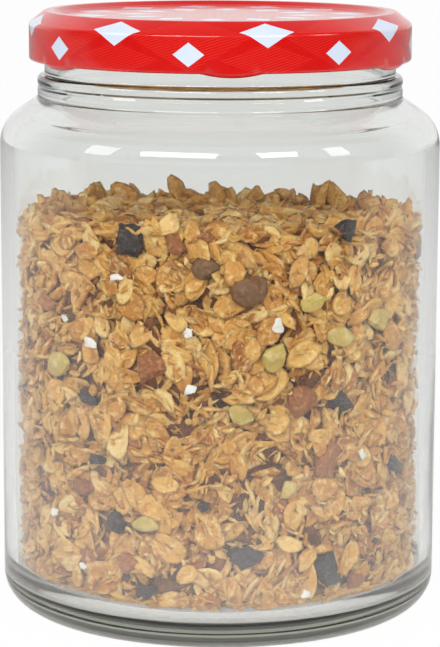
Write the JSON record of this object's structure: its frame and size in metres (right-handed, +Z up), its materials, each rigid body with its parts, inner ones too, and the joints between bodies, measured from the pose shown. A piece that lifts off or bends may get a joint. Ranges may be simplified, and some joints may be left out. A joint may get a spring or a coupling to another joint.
{
  "type": "glass storage jar with twist-off lid",
  "caption": "Wide round glass storage jar with a bare pressed metal twist-off lid, filled with loose granola; the lid turns on lugs and lifts away.",
  "frame": {"origin": "centre of the jar's foot, on the surface it stands on", "axes": "+Z up along the jar's axis, -Y towards the viewer of the picture, +X to the viewer's right"},
  "size_m": [0.1196, 0.1196, 0.1635],
  "materials": {
    "clear_glass": "clear, polished",
    "lacquered_tinplate": "gloss red lacquer outside with a pale facet pattern, gold lacquer inside",
    "sealing_compound": "satin",
    "toasted_oats": "matt, dry toasted oat flakes",
    "dark_chocolate": "satin",
    "almond": "matt brown skin",
    "hazelnut": "satin",
    "pumpkin_seed": "satin",
    "coconut": "matt"
  },
  "bodies": {
    "jar": {"glass_jar": "clear_glass", "granola_bed": "toasted_oats", "dark_chocolate_chunks": "dark_chocolate", "almond_pieces": "almond", "hazelnut_pieces": "hazelnut", "pumpkin_seeds": "pumpkin_seed", "coconut_flakes": "coconut"},
    "seal": {"lid_sealing_ring": "sealing_compound"},
    "lid": {"lid_shell": "lacquered_tinplate"}
  },
  "joints": [
    {"name": "lid_lift", "type": "slide", "parent": "jar", "child": "seal", "axis": [0, 0, 1], "range_m": [0, 0.07]},
    {"name": "lid_turn", "type": "hinge", "parent": "seal", "child": "lid", "pos_m": [0, 0, 0.15], "axis": [0, 0, 1], "range_deg": [-40, 0]}
  ]
}
